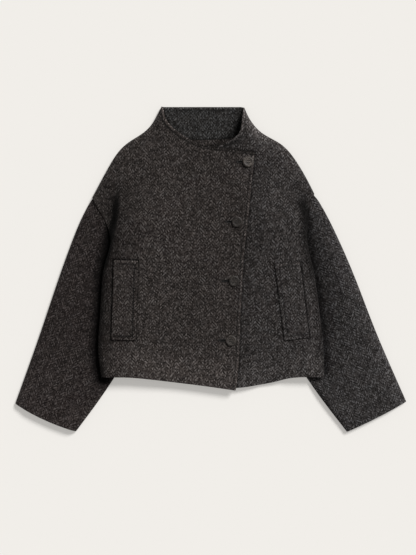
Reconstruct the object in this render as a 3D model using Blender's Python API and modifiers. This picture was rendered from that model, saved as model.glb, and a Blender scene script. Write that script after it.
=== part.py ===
"""Cropped wool coat with a funnel collar, laid flat on its back.

X runs across the coat with the wearer's right sleeve at -X, Y runs up to the
collar and Z up from the surface that the coat lies on. Units are metres.
"""

from collections import namedtuple
from math import cos, exp, hypot, radians, sin, sqrt

import bmesh
import bpy
from mathutils import Vector

# Cloth and seams
CLOTH = 0.0024
FOLD_SEAM = 0.0012

# Heights of the middle of the cloth above the surface
FLOOR_Z = CLOTH / 2
UNDER_LAP_Z = 0.0103
OVER_LAP_Z = 0.0139
EDGE_SEAM_Z = 0.0060
SLEEVE_SEAM_Z = {"right": 0.0048, "left": 0.0060}
SIDE_SEAM_Z = 0.0147
SHOULDER_CAP_Z = 0.0125
SLEEVE_PRESSED_Z = 0.0068
INNER_SEAM_Z = 0.0042
BACK_OVER_SLEEVE_Z = 0.0097

# Widths of the rolled edges and of the slopes beside them
UPPER_ROLL = 0.014
UNDER_ROLL = 0.009
INNER_ROLL = 0.007
SIDE_ROLL = 0.012
SIDE_SWELL = 0.160
SLEEVE_DIP = 0.030
SLEEVE_DIP_CLEAR = 0.010
BACK_CLEAR = 0.022
BACK_SLOPE = 0.020
SIDE_BLEND = 0.040

# Shares along a patch boundary
SIDE_SHARE = 0.80
LIFT_FROM = 0.40
LIFT_SPAN = 0.50
TIP_STOPS = (-0.034, -0.013, 0.0, 0.013, 0.034)
STOP_CLEAR = 0.35

# Faces across and along each kind of panel, its rough size, and the width of its rim
Grid = namedtuple("Grid", "across along width length rim")
GRIDS = {
    "front": Grid(20, 18, 0.330, 0.500, 0.0008),
    "back": Grid(22, 19, 0.480, 0.500, 0.0015),
    "back_collar": Grid(12, 6, 0.200, 0.060, 0.0011),
    "sleeve": Grid(10, 13, 0.190, 0.400, 0.0003),
    "welt": Grid(5, 9, 0.050, 0.160, 0.0),
}
ROLLED_STOPS = (0.0053, 0.0112, 0.0200)
TRACE_STEPS = 48
RING_STEPS = 12
FAR_AWAY = 1.0

# Pocket welts
WELT_CLOTH = 0.0022
WELT_GAP = 0.0004

# Buttons: the half section runs from the middle of the dished top round to the foot
BUTTON_RADIUS = 0.0115
BUTTON_STEPS = 20
BUTTON_MERGE = 0.00005
BUTTON_GAP = 0.0004
HOLE_RADIUS = 0.0010
HOLE_PITCH = 0.0046
HOLE_DEPTH = 0.0160
HOLE_SIDES = 6
Turn = namedtuple("Turn", "radius z")
BUTTON_SECTION = (
    Turn(0.0, 0.0029), Turn(0.0085, 0.0029), Turn(0.0097, 0.0040), Turn(0.0109, 0.0038),
    Turn(BUTTON_RADIUS, 0.0022), Turn(0.0112, 0.0012), Turn(0.0080, 0.0), Turn(0.0, 0.0),
)

# Colours and finish
TWEED = (0.034, 0.030, 0.028, 1.0)
TWEED_ROUGHNESS = 0.95
HORN = (0.030, 0.026, 0.024, 1.0)
HORN_ROUGHNESS = 0.45

# Folded outline of both sides, from the sleeve notch up to the collar tip
Outline = namedtuple("Outline", "right_x right_y left_x left_y")
OUTLINE = {
    "notch": Outline(-0.2482, 0.1490, 0.2177, 0.1575),
    "drop": Outline(-0.2240, 0.1945, 0.1987, 0.1945),
    "shoulder": Outline(-0.2050, 0.2285, 0.1782, 0.2285),
    "shoulder_top": Outline(-0.1822, 0.2598, 0.1524, 0.2600),
    "neck_base": Outline(-0.1400, 0.2848, 0.1060, 0.2850),
    "collar_low": Outline(-0.1200, 0.3045, 0.0882, 0.3045),
    "collar_mid": Outline(-0.1118, 0.3210, 0.0768, 0.3210),
    "collar_tip": Outline(-0.1020, 0.3395, 0.0690, 0.3395),
}
SHOULDER_ROWS = ("notch", "drop", "shoulder", "shoulder_top", "neck_base")
COLLAR_ROWS = ("neck_base", "collar_low", "collar_mid", "collar_tip")

# Side folds of the body from hem to chest, with the swell of the cloth beside them
Side = namedtuple("Side", "y right_x right_swell left_x left_swell")
SIDES = (
    Side(-0.2270, -0.2280, 0.0075, 0.2370, 0.0095),
    Side(-0.1700, -0.2350, 0.0080, 0.2365, 0.0105),
    Side(-0.0860, -0.2300, 0.0085, 0.2270, 0.0115),
    Side(-0.0020, -0.2240, 0.0110, 0.2150, 0.0135),
    Side(0.0500, -0.2090, 0.0125, 0.2020, 0.0145),
    Side(0.1100, -0.2010, 0.0110, 0.2010, 0.0130),
    Side(0.1760, -0.1960, 0.0005, 0.1985, 0.0005),
)

# Armholes, from the notch: where the seam meets the side fold, and the underarm
Armhole = namedtuple("Armhole", "fold_x fold_y under_x under_y")
ARMHOLES = {
    "right": Armhole(-0.2130, 0.0860, -0.1180, -0.0800),
    "left": Armhole(0.2060, 0.1130, 0.1120, -0.0780),
}

# Sleeve sections below the armhole, each from the outer fold to the inner fold
Section = namedtuple("Section", "share outer_x outer_y inner_x inner_y crown")
SLEEVES = {
    "right": (
        Section(0.1250, -0.2742, 0.0990, -0.1370, -0.1140, 0.0132),
        Section(0.3750, -0.3142, -0.0080, -0.1750, -0.1820, 0.0138),
        Section(0.6875, -0.3602, -0.1440, -0.2270, -0.2630, 0.0134),
        Section(1.0000, -0.4100, -0.2835, -0.2840, -0.3410, 0.0140),
    ),
    "left": (
        Section(0.1250, 0.2467, 0.1080, 0.1320, -0.1120, 0.0132),
        Section(0.3750, 0.2957, 0.0000, 0.1720, -0.1800, 0.0140),
        Section(0.6875, 0.3502, -0.1400, 0.2270, -0.2620, 0.0128),
        Section(1.0000, 0.4112, -0.2795, 0.2880, -0.3420, 0.0096),
    ),
}
CUFF_BOW = {"right": 0.005, "left": 0.002}
SLEEVE_SEAM = 0.0010
SLEEVE_TUCK = 0.0040
TUCK_SHARE = 0.30

# Free edges of the two fronts, the back's hem and its neck seam
Spot = namedtuple("Spot", "x y")
OVER_LAP_HEM = (
    Spot(-0.2280, -0.2270), Spot(-0.1650, -0.2275), Spot(-0.0640, -0.2390),
    Spot(-0.0010, -0.2470), Spot(0.0530, -0.2550),
)
OVER_LAP_EDGE = (
    Spot(0.0530, -0.2550), Spot(0.0600, -0.1900), Spot(0.0620, -0.1200),
    Spot(0.0660, -0.0410), Spot(0.0710, 0.0380), Spot(0.0800, 0.1150),
    Spot(0.0870, 0.1850), Spot(0.0930, 0.2460),
)
OVER_LAP_NECK = (
    Spot(-0.1020, 0.3395), Spot(-0.0975, 0.3260), Spot(-0.0920, 0.3090),
    Spot(-0.0745, 0.2920), Spot(-0.0490, 0.2750), Spot(-0.0180, 0.2605),
    Spot(0.0325, 0.2540), Spot(0.0930, 0.2460),
)
UNDER_LAP_HEM = (
    Spot(-0.0600, -0.2400), Spot(0.0490, -0.2500), Spot(0.1000, -0.2440),
    Spot(0.1375, -0.2370), Spot(0.1650, -0.2290), Spot(0.1950, -0.2265),
    Spot(0.2370, -0.2270),
)
UNDER_LAP_EDGE = (Spot(-0.0600, -0.2400), Spot(-0.0750, -0.0500), Spot(-0.0950, 0.2420))
UNDER_LAP_NECK = (
    Spot(-0.0950, 0.2420), Spot(-0.0400, 0.2480), Spot(0.0115, 0.2550),
    Spot(0.0340, 0.2655), Spot(0.0545, 0.2770), Spot(0.0640, 0.2900),
    Spot(0.0658, 0.3050), Spot(0.0690, 0.3395),
)
BACK_HEM = (
    Spot(-0.2280, -0.2270), Spot(-0.1200, -0.2250), Spot(0.0000, -0.2240),
    Spot(0.1200, -0.2250), Spot(0.2370, -0.2270),
)
NECK_SEAM = (
    Spot(-0.1400, 0.2848), Spot(-0.0700, 0.2762), Spot(-0.0160, 0.2745),
    Spot(0.0380, 0.2762), Spot(0.1060, 0.2850),
)
TIP_SHARES = {"over_lap": 0.43, "under_lap": 0.53}
NECK_SHARES = (0.233, 0.763)
NECK_GAP = 0.0004
NECK_END_GAP = 0.0016
NECK_GAP_EASE = 6

# Soft folds of the fronts: a line, the fold's half width and its height
Fold = namedtuple("Fold", "x0 y0 x1 y1 half_width height")
FRONT_FOLDS = {
    "centre_furrow": Fold(-0.0450, 0.2000, -0.0280, 0.0500, 0.020, -0.0012),
    "edge_dip": Fold(0.1060, 0.1700, 0.0960, 0.0000, 0.017, -0.0010),
    "hem_dip": Fold(0.1150, -0.2500, 0.1500, -0.1800, 0.030, -0.0026),
    "hem_swell": Fold(-0.1200, -0.2450, -0.1000, -0.1200, 0.035, 0.0014),
    "hem_lift": Fold(-0.1900, -0.2420, 0.0300, -0.2660, 0.048, 0.0052),
}

# Where the front collars stand up from the neck
Stand = namedtuple("Stand", "x y reach height")
COLLAR_STANDS = {
    "right": Stand(-0.0950, 0.3050, 0.042, 0.0020),
    "left": Stand(0.0720, 0.3025, 0.045, 0.0118),
}

Welt = namedtuple("Welt", "x y width length lean")
WELTS = {
    "pocket_welt_right": Welt(-0.1790, -0.0655, 0.051, 0.166, 1.8),
    "pocket_welt_left": Welt(0.1706, -0.0670, 0.052, 0.160, -7.2),
}

BUTTONS = {
    "button_1": Spot(0.0788, 0.2247),
    "button_2": Spot(0.0557, 0.0987),
    "button_3": Spot(0.0494, -0.0252),
    "button_4": Spot(0.0430, -0.1502),
}


def ease(t):
    """Smooth climb from 0 to 1."""
    t = min(max(t, 0.0), 1.0)
    return t * t * (3.0 - 2.0 * t)


def roll(t):
    """Quarter ellipse: upright at 0, level from 1 on."""
    t = min(max(t, 0.0), 1.0)
    return sqrt(t * (2.0 - t))


def mix(a, b, share):
    """Value or point between a and b."""
    return a + (b - a) * share


class Curve:
    """Smooth plan curve through spots, read by its share of the length."""

    def __init__(self, spots):
        self.points = [Vector((spot[0], spot[1])) for spot in spots]
        self.knots = [0.0]
        for a, b in zip(self.points, self.points[1:]):
            self.knots.append(self.knots[-1] + (b - a).length)

    def slope(self, i):
        """Direction of the curve at one of its spots."""
        a = max(i - 1, 0)
        b = min(i + 1, len(self.points) - 1)
        return (self.points[b] - self.points[a]) / (self.knots[b] - self.knots[a])

    def __call__(self, share):
        reach = min(max(share, 0.0), 1.0) * self.knots[-1]
        i = 0
        while i < len(self.points) - 2 and reach > self.knots[i + 1]:
            i += 1
        span = self.knots[i + 1] - self.knots[i]
        t = (reach - self.knots[i]) / span
        a = self.points[i]
        b = self.points[i + 1]
        bend_a = (self.slope(i) * span - (b - a)) * (1.0 - t)
        bend_b = (self.slope(i + 1) * span - (b - a)) * t
        return mix(a, b, t) + (bend_a - bend_b) * (t * (1.0 - t))


def joined(pieces, breaks):
    """One boundary out of several curves that meet at the break shares."""
    marks = (0.0,) + tuple(breaks) + (1.0,)

    def boundary(share):
        i = 0
        while i < len(pieces) - 1 and share > marks[i + 1]:
            i += 1
        return pieces[i]((share - marks[i]) / (marks[i + 1] - marks[i]))

    return boundary


def reverse(curve):
    """The same boundary run the other way."""
    return lambda share: curve(1.0 - share)


def patch(low, high, start, end):
    """Plan of a panel, filled in between its four boundaries."""
    corners = (low(0.0), low(1.0), high(0.0), high(1.0))

    def plan(u, v):
        across = mix(low(u), high(u), v)
        along = mix(start(v), end(v), u)
        square = mix(mix(corners[0], corners[1], u), mix(corners[2], corners[3], u), v)
        return across + along - square

    return plan


def row_at(rows, key, value):
    """Row of a table at a value of its key column, smooth between its rows."""
    keys = [getattr(row, key) for row in rows]
    value = min(max(value, keys[0]), keys[-1])
    i = 0
    while i < len(rows) - 2 and value > keys[i + 1]:
        i += 1
    span = keys[i + 1] - keys[i]
    t = (value - keys[i]) / span
    before = max(i - 1, 0)
    after = min(i + 2, len(rows) - 1)
    fields = []
    for column in range(len(rows[0])):
        a = rows[i][column]
        b = rows[i + 1][column]
        slope_a = (b - rows[before][column]) / (keys[i + 1] - keys[before])
        slope_b = (rows[after][column] - a) / (keys[after] - keys[i])
        bend = (slope_a * span - (b - a)) * (1.0 - t) - (slope_b * span - (b - a)) * t
        fields.append(mix(a, b, t) + bend * t * (1.0 - t))
    return type(rows[0])(*fields)


def spots_of(rows, side):
    """One side's outline spots at the named rows."""
    if side == "right":
        return [Spot(OUTLINE[row].right_x, OUTLINE[row].right_y) for row in rows]
    return [Spot(OUTLINE[row].left_x, OUTLINE[row].left_y) for row in rows]


def trace(curve):
    """Points along a boundary, for measuring distances to it."""
    return [curve(i / TRACE_STEPS) for i in range(TRACE_STEPS + 1)]


def distance_to(points, x, y):
    """Plan distance from a place to a traced boundary."""
    place = Vector((x, y))
    nearest = FAR_AWAY
    for a, b in zip(points, points[1:]):
        run = b - a
        share = min(max((place - a).dot(run) / run.length_squared, 0.0), 1.0)
        nearest = min(nearest, (place - a - run * share).length)
    return nearest


def inside(points, x, y):
    """Whether a place lies within a traced ring."""
    hit = False
    for a, b in zip(points, points[1:] + points[:1]):
        if (a.y > y) != (b.y > y) and x < a.x + (b.x - a.x) * (y - a.y) / (b.y - a.y):
            hit = not hit
    return hit


SHOULDER = {side: Curve(spots_of(SHOULDER_ROWS, side)) for side in ARMHOLES}
COLLAR_SIDE = {side: Curve(spots_of(COLLAR_ROWS, side)) for side in ARMHOLES}
WHOLE_EDGE = {side: Curve(spots_of(OUTLINE, side)) for side in ARMHOLES}
SHOULDER_TRACE = trace(SHOULDER["right"]), trace(SHOULDER["left"])
COLLAR_TRACE = trace(COLLAR_SIDE["right"]), trace(COLLAR_SIDE["left"])
EDGE_TRACE = {side: trace(WHOLE_EDGE[side]) for side in ARMHOLES}


def notch_of(side):
    """Where the armhole seam meets the outline."""
    return WHOLE_EDGE[side](0.0)


def fold_depth(side, x, y):
    """How far a place lies inside the body's side fold."""
    row = row_at(SIDES, "y", y)
    return x - row.right_x if side == "right" else row.left_x - x


def body_side(side):
    """Side boundary of a body panel: up the side fold, then out along the armhole."""
    hole = ARMHOLES[side]
    meet = Vector((hole.fold_x, hole.fold_y))
    notch = notch_of(side)

    def boundary(share):
        if share > SIDE_SHARE:
            return mix(meet, notch, (share - SIDE_SHARE) / (1.0 - SIDE_SHARE))
        y = mix(SIDES[0].y, hole.fold_y, share / SIDE_SHARE)
        row = row_at(SIDES, "y", y)
        fold_x = row.right_x if side == "right" else row.left_x
        out = ease((y - hole.fold_y + SIDE_BLEND) / SIDE_BLEND)
        return Vector((mix(fold_x, hole.fold_x, out), y))

    return boundary


def soft_folds(x, y):
    """Height of the soft folds of the fronts at a place."""
    height = 0.0
    for fold in FRONT_FOLDS.values():
        run_x = fold.x1 - fold.x0
        run_y = fold.y1 - fold.y0
        length = hypot(run_x, run_y)
        along = ((x - fold.x0) * run_x + (y - fold.y0) * run_y) / length
        across = ((x - fold.x0) * run_y - (y - fold.y0) * run_x) / length
        past = max(-along, along - length, 0.0)
        spread = (across * across + past * past) / fold.half_width ** 2
        height += fold.height * exp(-spread)
    return height


def collar_stand(x, y):
    """How far the collar stands up at a place."""
    height = 0.0
    for stand in COLLAR_STANDS.values():
        away = hypot(x - stand.x, y - stand.y)
        height += stand.height * ease(1.0 - away / stand.reach)
    return height


def front_height(layer_z, x, y):
    """Middle of a front's cloth, away from its folded outline."""
    row = row_at(SIDES, "y", y)
    depths = {"right": x - row.right_x, "left": row.left_x - x}
    swells = {"right": row.right_swell, "left": row.left_swell}
    z = layer_z + soft_folds(x, y) + collar_stand(x, y)
    for side, depth in depths.items():
        z += swells[side] * (1.0 - ease((depth - SIDE_ROLL) / SIDE_SWELL))
    for side, depth in depths.items():
        meet_y = ARMHOLES[side].fold_y
        foot = mix(SIDE_SEAM_Z, SHOULDER_CAP_Z, ease((y - meet_y + SIDE_BLEND) / SIDE_BLEND))
        z = mix(foot + FOLD_SEAM / 2, z, roll(depth / SIDE_ROLL))
    return z


def sleeve_section(side, share):
    """Sleeve section at a share of the sleeve's length, from armhole to cuff."""
    hole = ARMHOLES[side]
    notch = notch_of(side)
    first = Section(0.0, notch.x, notch.y, hole.under_x, hole.under_y, SHOULDER_CAP_Z)
    return row_at((first,) + SLEEVES[side], "share", share)


def sleeve_ring(side):
    """Plan outline of a sleeve."""
    hole = ARMHOLES[side]
    rows = [sleeve_section(side, i / RING_STEPS) for i in range(RING_STEPS + 1)]
    outer = [Vector((row.outer_x, row.outer_y)) for row in rows]
    inner = [Vector((row.inner_x, row.inner_y)) for row in reversed(rows)]
    return outer + inner + [Vector((hole.fold_x, hole.fold_y))]


SLEEVE_RING = {side: sleeve_ring(side) for side in ARMHOLES}


def back_height(x, y):
    """Middle of the back's cloth, flat below and lifted where it lies over a sleeve."""
    z = FLOOR_Z
    for side, hole in ARMHOLES.items():
        ring = SLEEVE_RING[side]
        away = 0.0 if inside(ring, x, y) else distance_to(ring + ring[:1], x, y)
        lift = ease((BACK_CLEAR + BACK_SLOPE - away) / BACK_SLOPE)
        notch = notch_of(side)
        reach = hypot(hole.fold_x - notch.x, hole.fold_y - notch.y)
        from_notch = hypot(x - notch.x, y - notch.y) / reach
        lift *= ease((from_notch - LIFT_FROM) / LIFT_SPAN)
        z += (BACK_OVER_SLEEVE_Z - FLOOR_Z) * lift
    return z


def front_surface(layer_z, plan, side):
    """Surface of a front: its folded outline rolls down to meet the back."""

    def surface(u, v):
        x, y = plan(u, v)
        edge = distance_to(EDGE_TRACE[side], x, y)
        seam = EDGE_SEAM_Z + FOLD_SEAM / 2
        z = mix(seam, front_height(layer_z, x, y), roll(edge / UPPER_ROLL))
        return Vector((x, y, z))

    return surface


def back_surface(plan):
    """Surface of the back: its sides and shoulders roll up to meet the fronts."""

    def surface(u, v):
        x, y = plan(u, v)
        z = back_height(x, y)
        for side, hole in ARMHOLES.items():
            depth = max(fold_depth(side, x, y), 0.0)
            held = 1.0 - ease((y - hole.fold_y + 2.0 * SIDE_BLEND) / SIDE_BLEND)
            rise = (SIDE_SEAM_Z - FOLD_SEAM / 2 - z) * held
            z += rise * (1.0 - roll(depth / UNDER_ROLL))
        edge = min(distance_to(points, x, y) for points in SHOULDER_TRACE)
        z = mix(EDGE_SEAM_Z - FOLD_SEAM / 2, z, roll(edge / UNDER_ROLL))
        return Vector((x, y, z))

    return surface


def back_collar_surface(plan):
    """Surface of the back collar: flat, with its ends rolled up to the front collars."""

    def surface(u, v):
        x, y = plan(u, v)
        edge = min(distance_to(points, x, y) for points in COLLAR_TRACE)
        z = mix(EDGE_SEAM_Z - FOLD_SEAM / 2, FLOOR_Z, roll(edge / UNDER_ROLL))
        return Vector((x, y, z))

    return surface


def covered(side, x, y):
    """How far a place on a sleeve is pressed under the body."""
    depth = fold_depth(side, x, y) + SLEEVE_DIP_CLEAR
    above_hem = y - SIDES[0].y + SLEEVE_DIP_CLEAR
    pressed = ease((depth + SLEEVE_DIP) / SLEEVE_DIP)
    return pressed * ease((above_hem + SLEEVE_DIP) / SLEEVE_DIP)


def sleeve_surface(side, upper):
    """Surface of one piece of a sleeve, from outer fold (0) to inner fold (1)."""
    hole = ARMHOLES[side]
    seam_z = SLEEVE_SEAM_Z[side]
    notch = notch_of(side)
    under = Vector((hole.under_x, hole.under_y))
    armhole = Curve([notch, Spot(hole.fold_x, hole.fold_y), under])
    last = SLEEVES[side][-1]
    cuff_run = Vector((last.inner_x - last.outer_x, last.inner_y - last.outer_y))
    down = Vector((-cuff_run.y, cuff_run.x)).normalized()
    if down.y > 0.0:
        down = -down

    def surface(u, v):
        row = sleeve_section(side, v)
        outer = Vector((row.outer_x, row.outer_y))
        inner = Vector((row.inner_x, row.inner_y))
        bow = armhole(u) - mix(notch, under, u)
        place = mix(outer, inner, u) + bow * (1.0 - ease(2.0 * v))
        tuck = mix(SLEEVE_SEAM, SLEEVE_TUCK, ease(u / TUCK_SHARE)) * (1.0 - v)
        place += down * (tuck + CUFF_BOW[side] * 4.0 * u * (1.0 - u) * ease(v))
        width = (inner - outer).length
        press = covered(side, place.x, place.y)
        inner_seam = mix(seam_z, INNER_SEAM_Z, press)
        if upper:
            z = mix(row.crown, SLEEVE_PRESSED_Z, press)
            z = mix(seam_z + FOLD_SEAM / 2, z, roll(u * width / UPPER_ROLL))
            inner_roll = mix(UPPER_ROLL, INNER_ROLL, press)
            z = mix(inner_seam + FOLD_SEAM / 2, z, roll((1.0 - u) * width / inner_roll))
        else:
            z = mix(seam_z - FOLD_SEAM / 2, FLOOR_Z, roll(u * width / UNDER_ROLL))
            inner_roll = mix(UNDER_ROLL, INNER_ROLL, press)
            z = mix(inner_seam - FOLD_SEAM / 2, z, roll((1.0 - u) * width / inner_roll))
        return Vector((place.x, place.y, z))

    return surface


def welt_surface(welt, layer_z):
    """Surface of a pocket welt: the front's own points, moved out."""
    lean = radians(welt.lean)
    lift = (CLOTH + WELT_CLOTH) / 2 + WELT_GAP

    def surface(u, v):
        across = (u - 0.5) * welt.width
        along = (v - 0.5) * welt.length
        x = welt.x + across * cos(lean) + along * sin(lean)
        y = welt.y - across * sin(lean) + along * cos(lean)
        return Vector((x, y, front_height(layer_z, x, y) + lift))

    return surface


def neck_gap(share):
    """Gap at the back neck seam, wider where its ends roll up."""
    return mix(NECK_GAP, NECK_END_GAP, abs(2.0 * share - 1.0) ** NECK_GAP_EASE)


def rolled(rim, size, at_start, at_end):
    """Shares of the grid lines that follow the rolled edges of a panel."""
    near = [stop / size for stop in (rim,) + ROLLED_STOPS]
    far = [1.0 - share for share in near]
    return (near if at_start else []) + (far if at_end else [])


def stops(count, marks=()):
    """Even shares over a panel, clear of its marked grid lines."""
    shares = [0.0, 1.0] + list(marks)
    for i in range(1, count):
        share = i / count
        if min(abs(share - other) for other in shares) > STOP_CLEAR / count:
            shares.append(share)
    return sorted(shares)


def new_collection(name):
    """Collection of the scene with a name."""
    collection = bpy.data.collections.new(name)
    bpy.context.scene.collection.children.link(collection)
    return collection


def new_material(name, colour, roughness):
    """Plain material of one piece."""
    material = bpy.data.materials.new(name)
    material.use_nodes = True
    shader = material.node_tree.nodes["Principled BSDF"]
    shader.inputs["Base Color"].default_value = colour
    shader.inputs["Roughness"].default_value = roughness
    shader.inputs["Metallic"].default_value = 0.0
    return material


def cloth_wall(name, surface, u_stops, v_stops, thickness=CLOTH):
    """Wall of cloth: a grid laid over a surface and thickened to both sides."""
    columns = len(u_stops) - 1
    rows = len(v_stops) - 1
    bm = bmesh.new()
    bmesh.ops.create_grid(bm, x_segments=columns, y_segments=rows, size=0.5)
    for vert in bm.verts:
        u = u_stops[round((vert.co.x + 0.5) * columns)]
        v = v_stops[round((vert.co.y + 0.5) * rows)]
        vert.co = surface(u, v)
    bmesh.ops.recalc_face_normals(bm, faces=bm.faces)
    if sum(face.normal.z for face in bm.faces) < 0.0:
        bmesh.ops.reverse_faces(bm, faces=bm.faces)
    mesh = bpy.data.meshes.new(name)
    bm.to_mesh(mesh)
    bm.free()
    mesh.shade_smooth()
    obj = bpy.data.objects.new(name, mesh)
    obj.data.materials.append(new_material(name, TWEED, TWEED_ROUGHNESS))
    COAT.objects.link(obj)
    wall = obj.modifiers.new("cloth", "SOLIDIFY")
    wall.thickness = thickness
    wall.offset = 0.0
    return obj


def button(name, spot):
    """Turned button with four holes, lying on the over-lap."""
    profile = bpy.data.meshes.new(name)
    points = [(turn.radius, 0.0, turn.z) for turn in BUTTON_SECTION]
    edges = [(i, i + 1) for i in range(len(points) - 1)]
    profile.from_pydata(points, edges, [])
    obj = bpy.data.objects.new(name, profile)
    obj.data.materials.append(new_material(name, HORN, HORN_ROUGHNESS))
    COAT.objects.link(obj)
    around = [(0.0, 0.0), (1.0, 0.0), (-1.0, 0.0), (0.0, 1.0), (0.0, -1.0)]
    seat = max(
        front_height(OVER_LAP_Z, spot.x + a * BUTTON_RADIUS, spot.y + b * BUTTON_RADIUS)
        for a, b in around
    )
    obj.location = (spot.x, spot.y, seat + CLOTH / 2 + BUTTON_GAP)
    turned = obj.modifiers.new("turned", "SCREW")
    turned.axis = "Z"
    turned.steps = BUTTON_STEPS
    turned.render_steps = BUTTON_STEPS
    turned.use_merge_vertices = True
    turned.merge_threshold = BUTTON_MERGE
    holes = bpy.data.meshes.new(name + "_holes")
    bm = bmesh.new()
    for a, b in ((-0.5, -0.5), (0.5, -0.5), (0.5, 0.5), (-0.5, 0.5)):
        made = bmesh.ops.create_cone(
            bm, cap_ends=True, segments=HOLE_SIDES, radius1=HOLE_RADIUS,
            radius2=HOLE_RADIUS, depth=HOLE_DEPTH,
        )
        shift = Vector((a * HOLE_PITCH, b * HOLE_PITCH, 0.0))
        bmesh.ops.translate(bm, verts=made["verts"], vec=shift)
    bm.to_mesh(holes)
    bm.free()
    cutter = bpy.data.objects.new(name + "_holes", holes)
    cutter.location = obj.location
    cutter.hide_render = True
    cutter.display_type = "WIRE"
    CUTTERS.objects.link(cutter)
    cut = obj.modifiers.new("holes", "BOOLEAN")
    cut.operation = "DIFFERENCE"
    cut.solver = "EXACT"
    cut.object = cutter
    return obj


for old in list(bpy.data.objects):
    bpy.data.objects.remove(old, do_unlink=True)

COAT = new_collection("cropped_coat")
CUTTERS = new_collection("cutters")

front = GRIDS["front"]
over_tip = TIP_SHARES["over_lap"]
over_marks = [over_tip + step for step in TIP_STOPS]
over_plan = patch(
    Curve(OVER_LAP_HEM),
    joined((WHOLE_EDGE["right"], Curve(OVER_LAP_NECK)), (over_tip,)),
    body_side("right"),
    Curve(OVER_LAP_EDGE),
)
cloth_wall(
    "front_right",
    front_surface(OVER_LAP_Z, over_plan, "right"),
    stops(front.across, rolled(front.rim, front.width, True, False) + over_marks),
    stops(front.along, rolled(front.rim, front.length, False, True)),
)

under_tip = TIP_SHARES["under_lap"]
under_marks = [under_tip + step for step in TIP_STOPS]
under_plan = patch(
    Curve(UNDER_LAP_HEM),
    joined((Curve(UNDER_LAP_NECK), reverse(WHOLE_EDGE["left"])), (under_tip,)),
    Curve(UNDER_LAP_EDGE),
    body_side("left"),
)
cloth_wall(
    "front_left",
    front_surface(UNDER_LAP_Z, under_plan, "left"),
    stops(front.across, rolled(front.rim, front.width, False, True) + under_marks),
    stops(front.along, rolled(front.rim, front.length, False, True)),
)

back = GRIDS["back"]
neck_seam = Curve(NECK_SEAM)
back_plan = patch(
    Curve(BACK_HEM),
    joined((SHOULDER["right"], neck_seam, reverse(SHOULDER["left"])), NECK_SHARES),
    body_side("right"),
    body_side("left"),
)
cloth_wall(
    "back",
    back_surface(back_plan),
    stops(back.across, rolled(back.rim, back.width, True, True) + list(NECK_SHARES)),
    stops(back.along, rolled(back.rim, back.length, False, True)),
)

collar = GRIDS["back_collar"]
tips = spots_of(("collar_tip",), "right") + spots_of(("collar_tip",), "left")
collar_plan = patch(neck_seam, Curve(tips), COLLAR_SIDE["right"], COLLAR_SIDE["left"])
cloth_wall(
    "back_collar",
    back_collar_surface(lambda u, v: collar_plan(u, v) + Vector((0.0, neck_gap(u) * (1.0 - v)))),
    stops(collar.across, rolled(collar.rim, collar.width, True, True)),
    stops(collar.along),
)

sleeve = GRIDS["sleeve"]
for side_name in ARMHOLES:
    for piece, is_upper in (("upper", True), ("under", False)):
        cloth_wall(
            "sleeve_" + side_name + "_" + piece,
            sleeve_surface(side_name, is_upper),
            stops(sleeve.across, rolled(sleeve.rim, sleeve.width, True, True)),
            stops(sleeve.along),
        )

for welt_name, welt_row in WELTS.items():
    lies_on = OVER_LAP_Z if welt_row.x < 0.0 else UNDER_LAP_Z
    cloth_wall(
        welt_name,
        welt_surface(welt_row, lies_on),
        stops(GRIDS["welt"].across),
        stops(GRIDS["welt"].along),
        WELT_CLOTH,
    )

for button_name, button_spot in BUTTONS.items():
    button(button_name, button_spot)
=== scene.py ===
from math import cos, hypot, pi, radians, sin

import bmesh
import bpy
import numpy as np
from mathutils import Matrix, Vector
from mathutils.bvhtree import BVHTree


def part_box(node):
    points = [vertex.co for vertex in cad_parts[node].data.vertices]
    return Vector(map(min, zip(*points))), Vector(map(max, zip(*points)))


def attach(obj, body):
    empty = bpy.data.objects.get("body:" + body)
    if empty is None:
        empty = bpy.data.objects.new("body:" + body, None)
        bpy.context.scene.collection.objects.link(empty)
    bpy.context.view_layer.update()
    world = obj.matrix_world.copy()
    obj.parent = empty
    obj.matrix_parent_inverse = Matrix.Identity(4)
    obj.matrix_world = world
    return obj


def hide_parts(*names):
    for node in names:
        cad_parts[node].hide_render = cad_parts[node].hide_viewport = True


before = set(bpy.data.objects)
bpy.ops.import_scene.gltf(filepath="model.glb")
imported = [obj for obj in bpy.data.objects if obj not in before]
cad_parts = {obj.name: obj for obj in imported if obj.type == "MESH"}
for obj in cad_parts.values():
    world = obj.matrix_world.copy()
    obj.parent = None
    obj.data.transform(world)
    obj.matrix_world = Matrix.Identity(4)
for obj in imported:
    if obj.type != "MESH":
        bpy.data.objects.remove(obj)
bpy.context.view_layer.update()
print("frame loaded,", len(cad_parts), "nodes")

up = Vector((0, 0, 1))
sideways = Vector((1, 0, 0))


# a shader socket that takes plain arithmetic
class Wire:
    def __init__(self, tree, socket=None):
        self.tree = tree
        self.socket = socket

    def node(self, kind, settings, values, out=0):
        made = self.tree.nodes.new(kind)
        for name, value in settings.items():
            if name == "stops":
                while len(made.color_ramp.elements) < len(value):
                    made.color_ramp.elements.new(1)
                for element, (place, colour) in zip(made.color_ramp.elements, value):
                    element.position = place
                    element.color = colour
            else:
                setattr(made, name, value)
        for name, value in values.items():
            if isinstance(value, Wire):
                self.tree.links.new(value.socket, made.inputs[name])
            else:
                made.inputs[name].default_value = value
        return Wire(self.tree, made.outputs[out])

    def math(self, operation, a, b=0.0):
        return self.node("ShaderNodeMath", {"operation": operation}, {0: a, 1: b})

    def __add__(self, other):
        return self.math("ADD", self, other)

    def __sub__(self, other):
        return self.math("SUBTRACT", self, other)

    def __rsub__(self, other):
        return self.math("SUBTRACT", other, self)

    def __mul__(self, other):
        return self.math("MULTIPLY", self, other)

    __radd__ = __add__


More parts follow.
